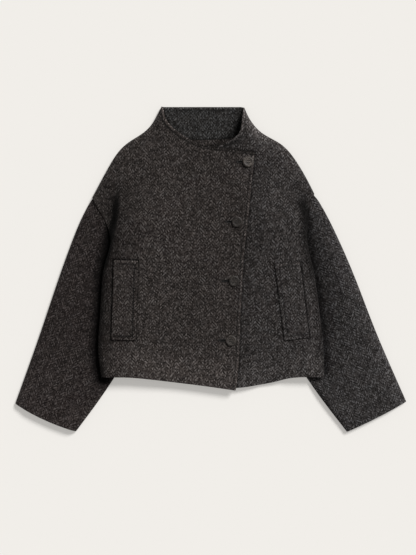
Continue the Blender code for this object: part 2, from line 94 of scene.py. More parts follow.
def newMaterial(name, **fixed):
    material = bpy.data.materials.new(name)
    material.use_nodes = True
    shader = material.node_tree.nodes["Principled BSDF"]
    for socket, value in fixed.items():
        shader.inputs[socket.replace("_", " ")].default_value = value
    return material, shader, Wire(material.node_tree)


def feed(tree, shader, **links):
    for socket, wire in links.items():
        tree.links.new(wire.socket, shader.inputs[socket.replace("_", " ")])


tweedLook = {
    "sheen": 0.08,
    "sheenRoughness": 0.55,
    "sheenTint": (0.50, 0.47, 0.45, 1),
    "specular": 0.05,
    "warp": 0.00165,            # one yarn to the next
    "weft": 0.00175,
    "leg": 7,                   # yarns across one leg of the herringbone
    "repeat": 4,                # a yarn goes over two and under two
    "edgeRun": 0.5,             # the weave goes on down the edges that fall away
    "edgeSign": 20,             # to both sides of the middle, in full from 5 cm on
    "lie": 0.012,               # height from which they fall
    "shoulder": 0.05,           # Y of the middle between hem and shoulders
    "fuzz": 2500,               # hairy edges of the yarns
    "fuzzReach": 0.0008,
    "wander": 0.0030,           # how far a yarn strays from its line
    "wanderScale": 130,
    "fibre": 1500,
    "fleck": 1000,
    "blot": 75,
    "cloud": 16,
    "warpSeed": 1.5,
    "weftSeed": 4.5,
    "yarnShare": 0.63,          # how far one float differs from the next
    "warpShare": 0.22,
    "fibreShare": 0.30,
    "fleckShare": 0.28,
    "blotShare": 0.03,
    "cloudShare": 0.05,
    "gapShare": 0.30,           # painted shade: darker between the yarns, paler on their rounded tops
    "meanRound": 0.64,          # mean height of a rounded yarn
    "paintedShadingGain": 50.0,            # brightness for painted shading of 1
    "tones": [                  # from the darkest to the palest wool
        (0.06, (0.0045, 0.0037, 0.0033)), (0.32, (0.0140, 0.0113, 0.0101)),
        (0.55, (0.0310, 0.0254, 0.0229)), (0.78, (0.0585, 0.0494, 0.0451)),
        (0.98, (0.1240, 0.1090, 0.1015)),
    ],
    "coolTint": (0.88, 1.0, 1.10, 1),
    "tintMean": 0.15,
    "tintSpread": 0.8,
    "roughest": 0.98,
    "paleShine": 0.12,
    "relief": {"yarn": 0.8, "fibre": 0.7, "fleck": 0.6, "tone": 0.3},
    "bumpStrength": 0.6,
    "bumpDepth": 0.0006,
}


# herringbone tweed: warp floats over two wefts, stepping from yarn to yarn
def tweed(name, grain, shade=(1, 1, 1)):
    look = tweedLook
    material, shader, wire = newMaterial(
        name, Sheen_Weight=look["sheen"], Sheen_Roughness=look["sheenRoughness"],
        Sheen_Tint=look["sheenTint"], Specular_IOR_Level=look["specular"])
    place = wire.node("ShaderNodeTexCoord", {}, {}, "Object")
    cloth = wire.node("ShaderNodeMapping", {}, {"Vector": place, "Rotation": (0, 0, grain)})
    x, y, z = (wire.node("ShaderNodeSeparateXYZ", {}, {0: cloth}, axis) for axis in "XYZ")

    def noise(scale, detail):
        return wire.node(
            "ShaderNodeTexNoise", {}, {"Vector": cloth, "Scale": scale, "Detail": detail}) - 0.5

    def chance(a, b, seed):
        at = wire.node("ShaderNodeCombineXYZ", {}, {0: a, 1: b, 2: seed})
        return wire.node("ShaderNodeTexWhiteNoise", {}, {"Vector": at}) - 0.5

    stray = noise(look["wanderScale"], 1) * look["wander"]
    fuzz = noise(look["fuzz"], 1) * look["fuzzReach"]
    fall = (z - look["lie"]) * look["edgeRun"]

    def outward(along):
        return wire.math("MAXIMUM", wire.math("MINIMUM", along * look["edgeSign"], 1.0), -1.0)

    warps = (x - fall * outward(x) + stray + fuzz) * (1 / look["warp"])
    wefts = (y - fall * outward(y - look["shoulder"]) - stray + fuzz) * (1 / look["weft"])
    warp, weft = wire.math("FLOOR", warps), wire.math("FLOOR", wefts)
    floats = (wefts + wire.math("PINGPONG", warp, look["leg"])) * (1 / look["repeat"])
    onTop = wire.math("LESS_THAN", wire.math("FRACT", floats), 0.5)
    warpTone = chance(warp, wire.math("FLOOR", floats), look["warpSeed"])
    weftFloat = wire.math("FLOOR", (warp - weft) * (1 / look["repeat"]))
    weftTone = chance(weftFloat, weft, look["weftSeed"])
    yarnTone = warpTone * onTop + weftTone * (1 - onTop)
    roundWarp = wire.math("SINE", wire.math("FRACT", warps) * pi)
    roundWeft = wire.math("SINE", wire.math("FRACT", wefts) * pi)
    rounded = roundWarp * onTop + roundWeft * (1 - onTop)
    fibre, fleck = noise(look["fibre"], 2), noise(look["fleck"], 2)
    blot, cloud = noise(look["blot"], 2), noise(look["cloud"], 2)
    # tone of the yarns, with painted shade between them
    tone = (
        0.5 + yarnTone * look["yarnShare"] + (onTop - 0.5) * look["warpShare"]
        + fibre * look["fibreShare"] + fleck * look["fleckShare"]
        + blot * look["blotShare"] + cloud * look["cloudShare"]
        + (rounded - look["meanRound"]) * look["gapShare"]
    )
    stops = [
        (at, tuple(c * k for c, k in zip(colour, shade)) + (1,)) for at, colour in look["tones"]
    ]
    ramp = wire.node("ShaderNodeValToRGB", {"stops": stops}, {"Fac": tone})
    tinted = wire.node(
        "ShaderNodeMix", {"data_type": "RGBA", "blend_type": "MULTIPLY"},
        {0: look["tintMean"] + blot * look["tintSpread"], 6: ramp, 7: look["coolTint"]}, 2)
    # painted shading: a per-point attribute scales the cloth's colour. It is darker as painted
    # shade in hollows, creases and under edges, and paler as painted highlights on edges turned to
    # the lamp.
    nap = wire.node("ShaderNodeAttribute", {"attribute_name": "nap"}, {}, "Fac")
    shadedBaseColour = wire.node(
        "ShaderNodeVectorMath", {"operation": "SCALE"},
        {0: tinted, "Scale": wire.math("POWER", look["paintedShadingGain"], nap)})
    relief = look["relief"]
    height = (
        rounded * relief["yarn"] + fibre * relief["fibre"] + fleck * relief["fleck"]
        + yarnTone * relief["tone"]
    )
    bump = wire.node("ShaderNodeBump", {}, {
        "Strength": look["bumpStrength"], "Distance": look["bumpDepth"], "Height": height})
    feed(wire.tree, shader, Base_Color=shadedBaseColour, Normal=bump,
         Roughness=look["roughest"] - tone * look["paleShine"])
    return material


bodyTweed = tweed("tweedBody", 0.0)
sleeveGrain = radians(25.5)
# one tweed in tinted copies: the right sleeve, away from the lamp, is darker as painted shade; the
# left front and its welt, on the lit side, are paler as painted light; the left sleeve is a little
# cooler, and the collar is darker and cooler
litSidePaler = (1.12, 1.18, 1.23)
tweeds = {
    "back_collar": tweed("tweedCollar", 0.0, (0.82, 0.92, 0.97)),
    "front_left": tweed("tweedFrontLeft", 0.0, litSidePaler),
    "sleeve_right_upper": tweed("tweedSleeveRight", sleeveGrain, (0.75, 0.72, 0.73)),
    "sleeve_left_upper": tweed("tweedSleeveLeft", -sleeveGrain, (0.96, 1.04, 1.11)),
    "pocket_welt_right": tweed("tweedWeltRight", radians(3)),
    "pocket_welt_left": tweed("tweedWeltLeft", radians(-6), litSidePaler),
}
tweeds["sleeve_right_under"] = tweeds["sleeve_right_upper"]
tweeds["sleeve_left_under"] = tweeds["sleeve_left_upper"]
print("tweed woven")


def newPiece(name, mesh, material):
    piece = bpy.data.objects.new(name, mesh)
    bpy.context.scene.collection.objects.link(piece)
    mesh.materials.clear()
    mesh.materials.append(material)
    mesh.shade_smooth()
    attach(piece, "root")
    return piece


def meshFrom(bm, name):
    mesh = bpy.data.meshes.new(name)
    bm.to_mesh(mesh)
    bm.free()
    return mesh


shell = {
    "merge": 1e-5,
    "joinAngle": radians(40),
    "joinShape": radians(60),
    "rimAngle": radians(50),
    "rimCrease": 0.5,
    "levels": {"back": 2, "sleeve_right_under": 2, "sleeve_left_under": 2},
    "usualLevel": 3,
}


# the CAD wall with its triangles merged and paired
def cadCage(node):
    bm = bmesh.new()
    bm.from_mesh(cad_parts[node].data)
    bmesh.ops.remove_doubles(bm, verts=bm.verts, dist=shell["merge"])
    bmesh.ops.join_triangles(
        bm, faces=bm.faces, angle_face_threshold=shell["joinAngle"],
        angle_shape_threshold=shell["joinShape"])
    return bm


def softShell(node):
    bm = cadCage(node)
    crease = bm.edges.layers.float.new("crease_edge")
    for edge in bm.edges:
        if edge.calc_face_angle(0) > shell["rimAngle"]:
            edge[crease] = shell["rimCrease"]
    cage = bpy.data.objects.new(node + "_cage", meshFrom(bm, node + "_cage"))
    bpy.context.scene.collection.objects.link(cage)
    rounding = cage.modifiers.new("round", "SUBSURF")
    rounding.levels = rounding.render_levels = shell["levels"].get(node, shell["usualLevel"])
    shown = cage.evaluated_get(bpy.context.evaluated_depsgraph_get())
    mesh = bpy.data.meshes.new_from_object(shown)
    bpy.data.objects.remove(cage)
    return mesh


# plan lines of the cut: free edges, seams and folds
plan = {
    "edge": [(0.0530, -0.2550), (0.0600, -0.1900), (0.0620, -0.1200), (0.0660, -0.0410),
             (0.0710, 0.0380), (0.0800, 0.1150), (0.0870, 0.1850), (0.0930, 0.2460)],
    "overNeck": [(0.0930, 0.2460), (0.0325, 0.2540), (-0.0180, 0.2605), (-0.0490, 0.2750),
                 (-0.0745, 0.2920), (-0.0920, 0.3090), (-0.0975, 0.3260), (-0.1020, 0.3395)],
    "overHem": [(-0.2280, -0.2270), (-0.1650, -0.2275), (-0.0640, -0.2390), (-0.0010, -0.2470),
                (0.0530, -0.2550)],
    "underHem": [(0.0530, -0.2500), (0.1000, -0.2440), (0.1375, -0.2370), (0.1650, -0.2290),
                 (0.1950, -0.2265), (0.2370, -0.2270)],
    "underNeck": [(0.0115, 0.2550), (0.0340, 0.2655), (0.0545, 0.2770), (0.0640, 0.2900),
                  (0.0658, 0.3050), (0.0690, 0.3395)],
    "collarTop": [(-0.0990, 0.3395), (-0.0100, 0.3395), (0.0660, 0.3395)],
    "collarFold": [(-0.1005, 0.3350), (-0.0995, 0.3240), (-0.0985, 0.3130)],
    "collarFoot": [(0.0320, 0.2620), (0.0430, 0.2645), (0.0540, 0.2670)],
    "collarCrest": [(0.0715, 0.3360), (0.0750, 0.3160), (0.0840, 0.2980), (0.1000, 0.2850)],
    "neckSeam": [(-0.1400, 0.2848), (-0.0700, 0.2762), (-0.0160, 0.2745), (0.0380, 0.2762),
                 (0.1060, 0.2850)],
    "rightSide": [(-0.2280, -0.2270), (-0.2350, -0.1700), (-0.2300, -0.0860), (-0.2240, -0.0020),
                  (-0.2120, 0.0560), (-0.2030, 0.1080), (-0.1920, 0.1640)],
    "leftSide": [(0.2370, -0.2270), (0.2365, -0.1700), (0.2270, -0.0860), (0.2150, -0.0020),
                 (0.2040, 0.0560), (0.1990, 0.1100), (0.1890, 0.1600)],
    "rightGroove": [(-0.1974, 0.1554), (-0.1991, 0.1344), (-0.2006, 0.1134), (-0.2052, 0.0924),
                    (-0.2094, 0.0714), (-0.2132, 0.0504), (-0.2178, 0.0294), (-0.2232, 0.0084)],
    "leftGroove": [(0.1900, 0.1510), (0.2006, 0.1240), (0.2060, 0.0987), (0.2060, 0.0714)],
    "rightArmhole": [(-0.2482, 0.1490), (-0.2130, 0.0860)],
    "leftArmhole": [(0.2177, 0.1575), (0.2060, 0.1130)],
    "rightOuter": [(-0.2482, 0.1490), (-0.2742, 0.0990), (-0.3142, -0.0080), (-0.3602, -0.1440),
                   (-0.4100, -0.2835)],
    "leftOuter": [(0.2177, 0.1575), (0.2467, 0.1080), (0.2957, 0.0000), (0.3502, -0.1400),
                  (0.4112, -0.2795)],
    "rightCuff": [(-0.4106, -0.2835), (-0.3500, -0.3120), (-0.2909, -0.3402)],
    "leftCuff": [(0.4106, -0.2793), (0.3500, -0.3098), (0.2930, -0.3402)],
    "leftShoulder": [(0.2177, 0.1575), (0.1987, 0.1945), (0.1782, 0.2285), (0.1524, 0.2600),
                     (0.1060, 0.2850)],
}
plan = {name: [Vector(spot) for spot in spots] for name, spots in plan.items()}


# a plan path moved sideways into its cloth
def moved(spots, inset):
    path = []
    for i, spot in enumerate(spots):
        run = (spots[min(i + 1, len(spots) - 1)] - spots[max(i - 1, 0)]).normalized()
        path.append(spot + Vector((-run.y, run.x)) * inset)
    return path


# evenly spaced places on a smooth curve through a path's spots
def evenly(spots, step, parts=12):
    fine = []
    for i in range(len(spots) - 1):
        before = spots[max(i - 1, 0)]
        a, b = spots[i], spots[i + 1]
        after = spots[min(i + 2, len(spots) - 1)]
        for k in range(parts):
            t = k / parts
            bendA = (b - before) / 2 - (b - a)
            bendB = (after - a) / 2 - (b - a)
            fine.append(a + (b - a) * t + (bendA * (1 - t) - bendB * t) * t * (1 - t))
    fine.append(spots[-1])
    places = []
    reach, due = 0.0, 0.0
    for a, b in zip(fine, fine[1:]):
        length = (b - a).length
        while due <= reach + length and length > 0:
            places.append(a + (b - a) * ((due - reach) / length))
            due += step
        reach += length
    return places


stitching = {
    "step": 0.0042,
    "length": 0.0034,
    "width": 0.00075,
    "height": 0.0006,
    "inset": 0.0062,
    "weltInset": 0.0076,
    "lift": 0.00008,
    "steepest": 0.2,             # no stitch where the cloth turns down more than this
    "groove": 0.00045,
    "grooveHalf": 0.0016,
}
inset = stitching["inset"]
seamLines = {
    "front_right": [moved(plan["edge"], inset), moved(plan["overNeck"], inset)],
    "front_left": [moved(plan["underNeck"], -inset)],
    "back_collar": [moved(plan["collarTop"], -inset)],
}
welts = {
    "pocket_welt_right": {"x": -0.1790, "y": -0.0655, "width": 0.051, "length": 0.166, "lean": 1.8},
    "pocket_welt_left": {"x": 0.1706, "y": -0.0670, "width": 0.052, "length": 0.160, "lean": -7.2},
}


# a welt's corners, round from the foot of its outer side, where the pocket opens
def weltRing(welt, inset):
    half, tall = welt["width"] / 2 - inset, welt["length"] / 2 - inset
    inner = 1 if welt["x"] < 0 else -1
    turn = Matrix.Rotation(radians(-welt["lean"]), 2)
    corners = [(-half * inner, -tall), (-half * inner, tall), (half * inner, tall),
               (half * inner, -tall), (-half * inner, -tall)]
    middle = Vector((welt["x"], welt["y"]))
    return [middle + turn @ Vector(corner) for corner in corners]


rings = {}
for node, welt in welts.items():
    ring = weltRing(welt, stitching["weltInset"])[1:]
    seamLines[node] = [[a, b] for a, b in zip(ring, ring[1:])]
    ring = weltRing(welt, 0)
    rings[node] = [[a, b] for a, b in zip(ring, ring[1:])]
    rings[node + "_mouth"] = [ring[:2]]
    rings[node + "_top"] = [ring[1:3]]
stitchSpots = {
    node: [evenly(line, stitching["step"]) for line in lines]
    for node, lines in seamLines.items()
}
print("seam lines laid out")


# placed creases: from, to, sideways bow, half width, depth
frontCreases = {
    "chestFurrow": (-0.064, 0.150, -0.026, 0.070, 0.004, 0.0085, -0.0011),
    "furrowTail": (-0.030, 0.085, -0.034, 0.010, -0.003, 0.0110, -0.0007),
    "edgeTrough": (0.109, 0.178, 0.092, 0.012, 0.004, 0.0075, -0.0008),
    "edgeSwell": (0.150, 0.156, 0.170, 0.100, 0.003, 0.0100, 0.0009),
    "pocketRidge": (0.137, 0.040, 0.146, -0.090, -0.004, 0.0080, 0.0007),
    "lowPress": (-0.208, -0.158, -0.150, -0.146, 0.004, 0.0170, -0.0017),
    "hemDiagonal": (-0.166, -0.208, -0.124, -0.172, 0.002, 0.0048, 0.0009),
    "hemDiagonalFoot": (-0.158, -0.212, -0.118, -0.182, 0.002, 0.0060, -0.0007),
    "armDragUpper": (-0.192, 0.146, -0.128, 0.116, 0.006, 0.0080, -0.0007),
    "armDragLower": (-0.196, 0.112, -0.142, 0.092, -0.004, 0.0065, 0.0006),
    "shoulderSlope": (0.176, 0.190, 0.132, 0.214, -0.005, 0.0090, -0.0008),
    "underWelt": (-0.120, -0.158, 0.010, -0.172, 0.005, 0.0150, -0.0007),
    "hemRoll": (-0.030, -0.226, 0.046, -0.236, 0.002, 0.0065, -0.0006),
    "neckPull": (0.030, 0.230, 0.075, 0.215, 0.003, 0.0080, -0.0007),
    "buttonPullTwo": (0.052, 0.100, -0.010, 0.112, 0.004, 0.0060, -0.0005),
    "buttonPullThree": (0.046, -0.026, -0.020, -0.034, -0.004, 0.0070, -0.0006),
    "sideFall": (0.196, 0.060, 0.186, -0.010, 0.004, 0.0095, -0.0008),
    "hemSettle": (0.096, -0.250, 0.168, -0.234, 0.002, 0.0200, -0.0036),
    "armFold": (-0.1985, 0.1600, -0.2050, 0.0800, 0.0, 0.0055, -0.0032),
    "hemWave": (0.150, -0.190, 0.172, -0.140, -0.005, 0.0120, 0.0008),
}
sleeveRightCreases = {
    "elbowUpper": (-0.304, -0.030, -0.272, -0.042, 0.003, 0.0060, -0.0007),
    "elbowMain": (-0.318, -0.070, -0.262, -0.084, 0.004, 0.0070, -0.0012),
    "elbowRidge": (-0.312, -0.083, -0.268, -0.096, 0.003, 0.0050, 0.0006),
    "foreArm": (-0.312, -0.168, -0.270, -0.178, -0.003, 0.0065, -0.0008),
    "longPress": (-0.300, 0.030, -0.352, -0.110, 0.006, 0.0120, 0.0008),
    "cuffDrag": (-0.378, -0.214, -0.330, -0.244, 0.004, 0.0080, -0.0007),
    "underArm": (-0.258, 0.060, -0.232, 0.000, 0.004, 0.0080, -0.0007),
    "cuffSwell": (-0.352, -0.276, -0.318, -0.300, 0.003, 0.0110, 0.0008),
}
sleeveLeftCreases = {
    "elbowMain": (0.262, -0.058, 0.306, -0.078, -0.003, 0.0070, -0.0010),
    "elbowRidge": (0.258, -0.076, 0.296, -0.094, -0.003, 0.0055, 0.0006),
    "foreArm": (0.290, -0.140, 0.352, -0.180, 0.005, 0.0075, -0.0009),
    "longPress": (0.276, 0.050, 0.330, -0.070, -0.005, 0.0110, 0.0008),
    "cuffDrag": (0.318, -0.236, 0.376, -0.206, 0.004, 0.0080, -0.0007),
    "capDrag": (0.222, 0.118, 0.246, 0.060, 0.003, 0.0070, -0.0006),
    "cuffSwell": (0.330, -0.288, 0.372, -0.272, 0.003, 0.0120, 0.0008),
}


creaseForm = {
    "full": 0.28,                # share of its length, each way, that has the full depth
    "end": 0.20,
    "swell": 0.28,               # height of the swells, and how many half widths out they are
    "swellAt": 1.8,
}


# height of the creases at plan places: soft troughs with a low swell on both sides
def creaseLift(creases, x, y):
    lift = np.zeros_like(x)
    for x0, y0, x1, y1, bow, half, depth in creases.values():
        length = hypot(x1 - x0, y1 - y0)
        dx, dy = (x1 - x0) / length, (y1 - y0) / length
        along = ((x - x0) * dx + (y - y0) * dy) / length
        across = ((x - x0) * dy - (y - y0) * dx) - bow * 4 * along * (1 - along)
        q = across / half
        beyond = np.maximum(np.abs(along - 0.5) - creaseForm["full"], 0)
        ends = np.exp(-(beyond / creaseForm["end"]) ** 2)
        out = creaseForm["swellAt"]
        swell = np.exp(-(q - out) ** 2) + np.exp(-(q + out) ** 2)
        lift += depth * ends * (np.exp(-q * q) - creaseForm["swell"] * swell)
    return lift


lineStep = {"seam": 0.0012, "nap": 0.0015, "drape": 0.003}


# plan distance of places to the nearest of a line's spots
def nearLine(x, y, lines, use):
    nearest = np.full(len(x), np.inf)
    for line in lines:
        for spot in evenly(line, lineStep[use]):
            np.minimum(nearest, np.hypot(x - spot.x, y - spot.y), out=nearest)
    return nearest


def ease(t):
    t = np.clip(t, 0, 1)
    return t * t * (3 - 2 * t)


bodyDrape = {
    "dome": 0.0046,              # how far the cloth domes up beside each side fold
    "domeAt": 0.075,
    "domeHalf": 0.042,
    "edge": -0.0032,             # and how much wider its edge rolls over
    "edgeAt": 0.014,
    "edgeHalf": 0.011,
    "fadeFrom": 0.165,           # both fade out towards the shoulders and the hem
    "fadeOver": 0.070,
    "hem": -0.2400,
    "hemOver": 0.070,
}
sleeveDrape = {
    "valley": -0.0024,           # dip beside the body
    "valleyHalf": 0.011,
    "valleyTop": 0.075,          # fades out towards the armhole seam
    "valleyOver": 0.050,
    "edge": -0.0028,             # wider roll along the outer fold
    "edgeAt": 0.012,
    "edgeHalf": 0.012,
    "sewn": 0.0034,              # the armhole end is drawn in under the body's edge
    "sewnReach": 0.014,
    "sewnLift": 0.0006,
    "rightIn": (0.873, 0.488),
    "leftIn": (-0.967, 0.254),
}
collarSewn = {                   # the back collar is drawn to its seam
    "drawn": 0.0022,
    "reach": 0.010,
}
collarRise = {                   # the collar's soft upper edge stands a little up and out
    "up": 0.0021,
    "from": 0.300,
    "over": 0.036,
    "out": 0.0012,
    "outFrom": 0.063,
    "outOver": 0.008,
    "tip": 0.9,                  # and rounds off at its left corner
}


def hump(away, at, half):
    return np.exp(-((away - at) / half) ** 2)


# how far the fronts, and all that lies on them, move from the frame's own form
def frontLift(x, y):
    lift = creaseLift(frontCreases, x, y)
    fade = ease((bodyDrape["fadeFrom"] - y) / bodyDrape["fadeOver"])
    fade *= ease((y - bodyDrape["hem"]) / bodyDrape["hemOver"])
    for fold in ("rightSide", "leftSide"):
        away = nearLine(x, y, [plan[fold]], "drape")
        lift += fade * bodyDrape["dome"] * hump(away, bodyDrape["domeAt"], bodyDrape["domeHalf"])
        lift += fade * bodyDrape["edge"] * hump(away, bodyDrape["edgeAt"], bodyDrape["edgeHalf"])
    return lift


def sleeveLift(side, x, y):
    lift = creaseLift(sleeveRightCreases if side == "right" else sleeveLeftCreases, x, y)
    fade = ease((sleeveDrape["valleyTop"] - y) / sleeveDrape["valleyOver"])
    away = nearLine(x, y, [plan[side + "Side"]], "drape")
    lift += fade * sleeveDrape["valley"] * hump(away, 0, sleeveDrape["valleyHalf"])
    away = nearLine(x, y, [plan[side + "Outer"]], "drape")
    return lift + sleeveDrape["edge"] * hump(away, sleeveDrape["edgeAt"], sleeveDrape["edgeHalf"])


# painted shade and painted highlights, where the cloth is painted darker or paler: line, distance,
# half width, amount, from y, to y
paintedShadingMarks = {
    # right front: painted shade beside the side fold, in the groove by the sleeve, along the
    # stitches, under the neck edge, and round the welt and its mouth; painted highlights on the
    # front edge, the neck edge, the collar fold and a band above the hem
    "front_right": [
        ("rightSide", 0, 0.0095, -0.30, -0.30, 0.07), ("rightSide", 0, 0.045, -0.12, -0.30, 0.19),
        ("rightGroove", 0, 0.0062, -0.85, 0.00, 0.145), ("stitches", 0, 0.0013, -0.26, -0.40, 0.40),
        ("edge", 0.0015, 0.0036, 0.09, -0.30, 0.25), ("overHem", 0.026, 0.036, 0.10, -0.30, -0.08),
        ("overNeck", 0.001, 0.0026, 0.20, 0.272, 0.40),
        ("overNeck", 0.0062, 0.0018, -0.22, 0.272, 0.325),
        ("overNeck", 0.0012, 0.0018, -0.32, 0.20, 0.262),
        ("collarFold", 0, 0.004, 0.10, 0.20, 0.40),
        ("pocket_welt_right", 0, 0.0020, -0.20, -0.30, 0.20),
        ("pocket_welt_right_mouth", 0, 0.0028, -0.40, -0.30, 0.20),
        ("pocket_welt_right_top", 0.0025, 0.0020, -0.30, -0.30, 0.20),
    ],
    # left front: painted shade beside the side fold and groove, along the stitches, under the right
    # front's neck and front edges, at the collar's foot and round the welt's mouth; painted
    # highlights on the collar crest, the shoulder, the neck edge and a band above the hem
    "front_left": [
        ("leftSide", 0, 0.0085, -0.32, -0.01, 0.14), ("leftSide", 0, 0.030, -0.08, -0.02, 0.18),
        ("leftSide", 0, 0.0060, -0.20, -0.22, -0.01),
        ("leftGroove", 0, 0.0080, -0.22, 0.05, 0.14), ("stitches", 0, 0.0013, -0.16, -0.40, 0.40),
        ("overNeck", 0, 0.0024, -0.30, 0.20, 0.40),
        ("edge", 0, 0.0030, -0.22, -0.30, 0.25), ("edge", 0.006, 0.018, -0.06, -0.30, 0.24),
        ("underHem", 0.020, 0.030, 0.07, -0.30, -0.08),
        ("collarCrest", 0, 0.012, 0.15, 0.20, 0.40),
        ("leftShoulder", 0.004, 0.020, 0.10, 0.20, 0.40),
        ("underNeck", 0.001, 0.0022, 0.12, 0.20, 0.40),
        ("collarFoot", 0, 0.0055, -0.30, 0.20, 0.40),
        ("pocket_welt_left", 0, 0.0020, -0.06, -0.30, 0.20),
        ("pocket_welt_left_mouth", 0.0008, 0.0030, -0.38, -0.30, 0.20),
    ],
    # back: painted shade along the neck seam and under the front's neck edge
    "back": [
        ("neckSeam", 0, 0.0021, -0.45, 0.20, 0.40), ("overNeck", 0, 0.0026, -0.40, 0.20, 0.40),
    ],
    # back collar: painted shade along the neck seam, under both neck edges and along the stitches;
    # a painted highlight on the rolled top edge, with painted shade below it
    "back_collar": [
        ("neckSeam", 0, 0.0021, -0.45, 0.20, 0.40), ("overNeck", 0, 0.0026, -0.30, 0.20, 0.40),
        ("underNeck", 0.006, 0.009, -0.50, 0.275, 0.312),
        ("collarTop", 0.0025, 0.0030, 0.14, 0.20, 0.40),
        ("collarTop", 0.0080, 0.0018, -0.07, 0.20, 0.40),
        ("stitches", 0, 0.0013, -0.16, -0.40, 0.40),
    ],
    # welts: painted shade along their stitches and a painted highlight on their top edge
    "pocket_welt_right": [
        ("stitches", 0, 0.0014, -0.38, -0.40, 0.40),
        ("pocket_welt_right_top", 0.0020, 0.0022, 0.16, -0.30, 0.20),
    ],
    "pocket_welt_left": [
        ("stitches", 0, 0.0014, -0.24, -0.40, 0.40),
        ("pocket_welt_left_top", 0.0020, 0.0022, 0.12, -0.30, 0.20),
    ],
    # right sleeve: painted shade in the valley beside the body; painted light over the seam's
    # shadow at the armhole; the cuff end painted a little paler
    "sleeve_right_upper": [
        ("rightSide", 0.003, 0.0125, -0.55, -0.30, 0.11),
        ("rightSide", 0, 0.040, -0.08, -0.30, 0.12),
        ("rightGroove", 0, 0.0075, -0.35, 0.00, 0.125),
        ("rightArmhole", 0, 0.0040, 0.08, 0.10, 0.20),
        ("rightCuff", 0, 0.110, 0.045, -0.50, 0.10),
    ],
    # left sleeve: painted shade in the valley beside the body; a painted highlight along the outer
    # fold; the cuff end painted a little paler
    "sleeve_left_upper": [
        ("leftSide", 0, 0.0120, -0.30, -0.05, 0.16), ("leftSide", 0, 0.040, -0.08, -0.14, 0.12),
        ("leftSide", 0.0040, 0.0085, -0.30, -0.22, -0.05),
        ("leftOuter", 0.004, 0.018, 0.09, -0.40, 0.30), ("leftCuff", 0, 0.110, 0.035, -0.50, 0.10),
    ],
}


paintedShadingFade = 0.04                   # over how much of Y a painted mark fades out


def linesOf(name, node):
    return seamLines[node] if name == "stitches" else rings.get(name) or [plan[name]]


# paints the marks of painted shade and painted highlight into the cloth's painted shading attribute
def paintShading(mesh, node, x, y):
    nap = np.zeros(len(x))
    names = {row[0] for row in paintedShadingMarks[node]}
    away = {name: nearLine(x, y, linesOf(name, node), "nap") for name in names}
    for name, at, half, amount, low, high in paintedShadingMarks[node]:
        window = ease((y - low) / paintedShadingFade + 0.5) * ease((high - y) / paintedShadingFade + 0.5)
        nap += amount * window * hump(away[name], at, half)
    mesh.attributes.new("nap", "FLOAT", "POINT").data.foreach_set("value", nap.astype(np.float32))


def placesOf(mesh):
    places = np.empty(len(mesh.vertices) * 3)
    mesh.vertices.foreach_get("co", places)
    return places.reshape(-1, 3)


def treeOf(mesh):
    bm = bmesh.new()
    bm.from_mesh(mesh)
    tree = BVHTree.FromBMesh(bm)
    bm.free()
    return tree


above = 0.1                      # height from which rays are cast down


# place and normal of a mesh's upper face under a plan spot
def topOf(tree, x, y):
    return tree.ray_cast(Vector((x, y, above)), -up)[:2]


levelling = {                    # narrow faces of the frame leave lumps beside the collar's foot
    "node": "front_left",
    "low": (0.0550, 0.205),
    "high": (0.0780, 0.318),
    "fade": 0.0070,
    "reach": 0.0065,
    "samples": 15,
    "fewest": 5,
    "weightHalf": 0.7,           # as a share of the reach
}


# evens out lumps by a smooth curve fitted across them
def evenOut(mesh):
    tree = treeOf(mesh)
    low, high, reach = levelling["low"], levelling["high"], levelling["reach"]
    steps = np.linspace(-reach, reach, levelling["samples"])
    for vert in mesh.vertices:
        x, y, _ = vert.co
        inside = min(x - low[0], high[0] - x, y - low[1], high[1] - y) / levelling["fade"]
        top = topOf(tree, x, y)[0] if inside > 0 else None
        if top is None:
            continue
        hits = [(step, topOf(tree, x + step, y)[0]) for step in steps]
        away, height = np.array([(step, hit.z) for step, hit in hits if hit]).T
        if len(away) > levelling["fewest"]:
            weight = hump(away, 0, reach * levelling["weightHalf"])
            curve = np.polyfit(away, height, 2, w=weight)
            vert.co.z += ease(inside) * (curve[-1] - top.z)


refining = {
    "narrow": 0.0045,            # half width of the painted shade and highlight marks that need finer faces
    "reach": 0.0050,
    "finest": 0.0012,
    "rounds": 2,
    "facing": -0.3,              # only the cloth's upper face, with its edge
}


# finer faces beside lines, so that stitches can press in and narrow marks of painted shade and
# highlight show
def refine(mesh, lines):
    for _ in range(refining["rounds"]):
        places = placesOf(mesh)
        near = nearLine(places[:, 0], places[:, 1], lines, "seam")
        bm = bmesh.new()
        bm.from_mesh(mesh)
        bm.verts.ensure_lookup_table()
        edges = [
            edge for edge in bm.edges
            if max(near[vert.index] for vert in edge.verts) < refining["reach"]
            and min(vert.normal.z for vert in edge.verts) > refining["facing"]
            and edge.calc_length() > refining["finest"]
        ]
        bmesh.ops.subdivide_edges(bm, edges=edges, cuts=1, use_grid_fill=True)
        bm.to_mesh(mesh)
        bm.free()


